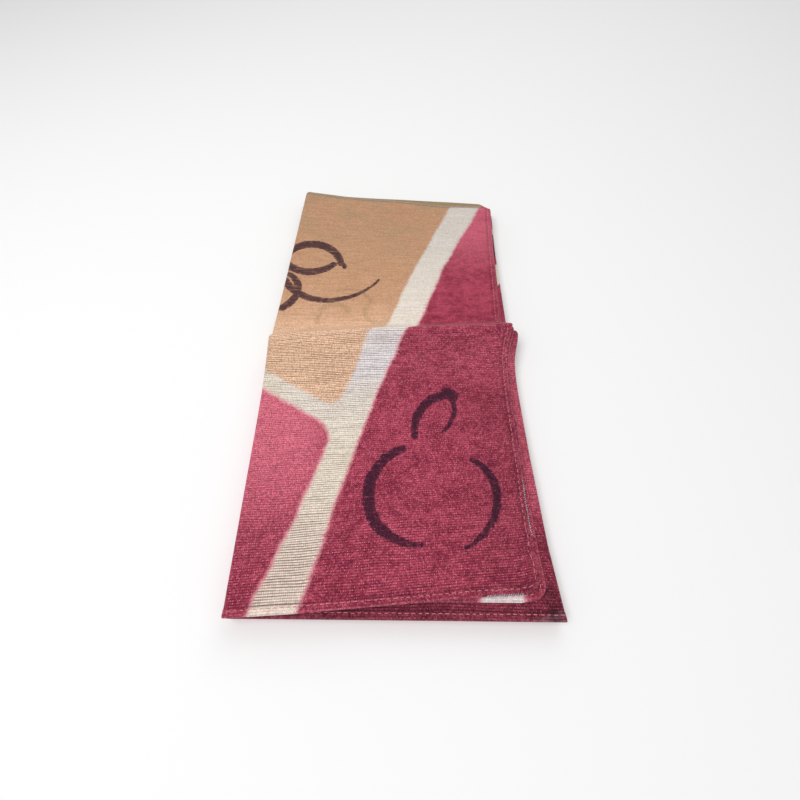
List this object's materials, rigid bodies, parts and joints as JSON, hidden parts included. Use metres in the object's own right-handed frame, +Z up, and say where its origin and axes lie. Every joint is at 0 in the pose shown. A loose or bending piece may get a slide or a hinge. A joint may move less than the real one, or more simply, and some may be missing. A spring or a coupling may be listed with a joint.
{
  "type": "folded handkerchief",
  "caption": "Square cotton and linen handkerchief folded into a long flat packet, open hems at the front and right, with a low crease ridge across its middle.",
  "frame": {"origin": "on the surface that the packet lies on, below the middle of its box", "axes": "+Z up, +Y from the front hems to the back fold along the packet's length, +X to the side where the layers show one by one"},
  "size_m": [0.1306, 0.2494, 0.0194],
  "materials": {
    "cloth": "matte plain weave"
  },
  "bodies": {
    "root": {"handkerchief": "cloth"}
  },
  "joints": []
}
